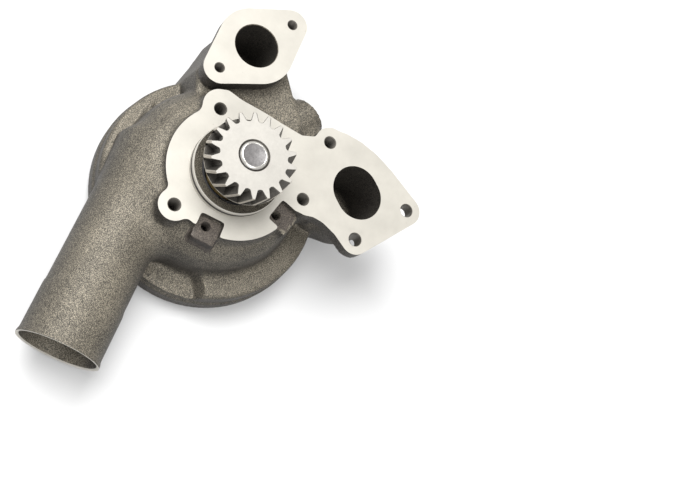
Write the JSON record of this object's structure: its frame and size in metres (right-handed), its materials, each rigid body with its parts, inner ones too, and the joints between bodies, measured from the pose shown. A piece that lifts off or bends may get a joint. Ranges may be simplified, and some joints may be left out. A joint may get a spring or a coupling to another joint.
{
  "type": "water pump",
  "caption": "Gear-driven engine coolant pump: cast volute with hose pipe, oval and round ports, spigot with helical drive gear, rear plug cover.",
  "frame": {"origin": "on the shaft axis, in the plane of the mounting flange's machined face", "axes": "+Z along the shaft towards the drive gear, +X along the hose pipe, +Y towards the oval port"},
  "size_m": [0.3045, 0.2337, 0.122],
  "materials": {
    "cast_iron_body": "as-cast, fine grain, with milled faces",
    "cover_steel": "dark grey, smooth satin",
    "rubber_black": "matt",
    "shaft_steel": "ground, rough sawn end",
    "gear_steel": "pale machined steel",
    "impeller_iron": "as-cast",
    "bearing_steel": "polished",
    "cage_brass": "satin",
    "spring_steel": "dark satin",
    "seal_case_steel": "satin",
    "seal_carbon": "matt black carbon",
    "seal_ceramic": "lapped"
  },
  "bodies": {
    "housing": {"pump_body": "cast_iron_body", "rear_cover": "cover_steel", "cover_sealing_ring": "rubber_black", "spigot_o_ring": "rubber_black", "front_bearing_outer_ring": "bearing_steel", "rear_bearing_outer_ring": "bearing_steel", "bearing_circlip": "spring_steel", "oil_seal_case": "seal_case_steel", "oil_seal_lip": "rubber_black", "oil_seal_garter_spring": "spring_steel", "coolant_seal_cup": "cage_brass", "coolant_seal_gaiter": "rubber_black", "coolant_seal_spring": "spring_steel", "coolant_seal_carbon": "seal_carbon"},
    "rotor": {"pump_shaft": "shaft_steel", "drive_gear": "gear_steel", "impeller": "impeller_iron", "front_bearing_inner_ring": "bearing_steel", "rear_bearing_inner_ring": "bearing_steel", "bearing_spacer": "bearing_steel", "water_slinger": "rubber_black", "coolant_seal_seat": "seal_ceramic"},
    "front_ball_set": {"front_bearing_balls": "bearing_steel", "front_bearing_cage": "cage_brass"},
    "rear_ball_set": {"rear_bearing_balls": "bearing_steel", "rear_bearing_cage": "cage_brass"}
  },
  "joints": [
    {"name": "shaft_spin", "type": "hinge", "parent": "housing", "child": "rotor", "pos_m": [0, 0, 0], "axis": [0, 0, 1], "continuous": true},
    {"name": "front_ball_orbit", "type": "hinge", "parent": "housing", "child": "front_ball_set", "pos_m": [0, 0, -0.0075], "axis": [0, 0, 1], "continuous": true},
    {"name": "rear_ball_orbit", "type": "hinge", "parent": "housing", "child": "rear_ball_set", "pos_m": [0, 0, -0.0285], "axis": [0, 0, 1], "continuous": true}
  ],
  "couplings": [
    {"joint": "front_ball_orbit", "follows": "shaft_spin", "ratio": 0.3982},
    {"joint": "rear_ball_orbit", "follows": "shaft_spin", "ratio": 0.3982}
  ]
}
